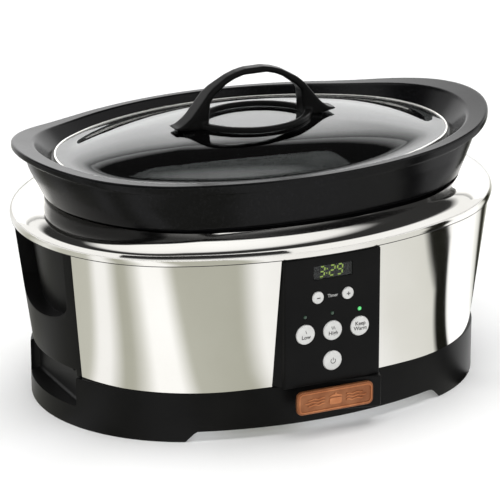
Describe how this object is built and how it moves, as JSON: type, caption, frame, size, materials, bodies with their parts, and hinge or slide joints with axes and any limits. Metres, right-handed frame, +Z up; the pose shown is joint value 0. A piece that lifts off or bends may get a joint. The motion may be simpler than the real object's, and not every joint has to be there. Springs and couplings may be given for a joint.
{
  "type": "slow cooker",
  "caption": "Oval slow cooker with a polished wrap, black base, button panel, lift-out stoneware crock and glass lid with an arched handle.",
  "frame": {"origin": "on the resting plane, below the middle of the oval body", "axes": "+Z up, +X along the oval's length, to the right as seen from the front, +Y to the back"},
  "size_m": [0.4, 0.2957, 0.2606],
  "materials": {
    "black_plastic": "satin moulded",
    "panel_black": "fine satin",
    "soft_black": "matt",
    "rubber": "matt",
    "polished_steel": "mirror polished",
    "zinc_plate": "zinc plated",
    "bare_aluminium": "rolled",
    "heater_tape": "woven glass tape",
    "smoked_window": "smoked clear plastic",
    "display_black": "matt",
    "circuit_board": "lacquered",
    "lamp_green": "clear tinted",
    "button_silver": "satin silver",
    "copper_badge": "brown copper",
    "black_glaze": "glazed stoneware, satin gloss",
    "lid_glass": "tempered clear"
  },
  "bodies": {
    "base": {"base_housing": "black_plastic", "base_plate": "zinc_plate", "rubber_feet": "rubber", "base_screws": "zinc_plate", "cord_gland": "soft_black", "front_wrap": "polished_steel", "rear_wrap": "polished_steel", "collar": "polished_steel", "left_handle": "black_plastic", "right_handle": "black_plastic", "heating_can": "bare_aluminium", "heater_band": "heater_tape", "tie_bolt": "zinc_plate", "tie_washer": "zinc_plate", "tie_nut": "zinc_plate", "temperature_sensor": "bare_aluminium", "control_housing": "black_plastic", "control_fascia": "panel_black", "display_window": "smoked_window", "display_module": "display_black", "control_board": "circuit_board", "power_relay": "display_black", "supply_capacitor": "display_black", "lamp_low": "lamp_green", "lamp_high": "lamp_green", "lamp_keep_warm": "lamp_green", "button_switches": "display_black", "badge": "copper_badge"},
    "crock": {"crock": "black_glaze"},
    "lid": {"lid_rim": "polished_steel", "lid_glass": "lid_glass", "lid_handle": "black_plastic", "lid_screws": "zinc_plate", "lid_washers": "soft_black"},
    "button_minus": {"button_minus": "button_silver"},
    "button_plus": {"button_plus": "button_silver"},
    "button_low": {"button_low": "button_silver"},
    "button_high": {"button_high": "button_silver"},
    "button_keep_warm": {"button_keep_warm": "button_silver"},
    "button_power": {"button_power": "button_silver"}
  },
  "joints": [
    {"name": "crock_lift", "type": "slide", "parent": "base", "child": "crock", "axis": [0, 0, 1], "range_m": [0, 0.2]},
    {"name": "lid_lift", "type": "slide", "parent": "crock", "child": "lid", "axis": [0, 0, 1], "range_m": [0, 0.15]},
    {"name": "press_minus", "type": "slide", "parent": "base", "child": "button_minus", "axis": [0, 1, 0], "range_m": [0, 0.0008], "stiffness_N_per_m": 400},
    {"name": "press_plus", "type": "slide", "parent": "base", "child": "button_plus", "axis": [0, 1, 0], "range_m": [0, 0.0008], "stiffness_N_per_m": 400},
    {"name": "press_low", "type": "slide", "parent": "base", "child": "button_low", "axis": [0, 1, 0], "range_m": [0, 0.0008], "stiffness_N_per_m": 400},
    {"name": "press_high", "type": "slide", "parent": "base", "child": "button_high", "axis": [0, 1, 0], "range_m": [0, 0.0008], "stiffness_N_per_m": 400},
    {"name": "press_keep_warm", "type": "slide", "parent": "base", "child": "button_keep_warm", "axis": [0, 1, 0], "range_m": [0, 0.0008], "stiffness_N_per_m": 400},
    {"name": "press_power", "type": "slide", "parent": "base", "child": "button_power", "axis": [0, 1, 0], "range_m": [0, 0.0008], "stiffness_N_per_m": 400}
  ]
}
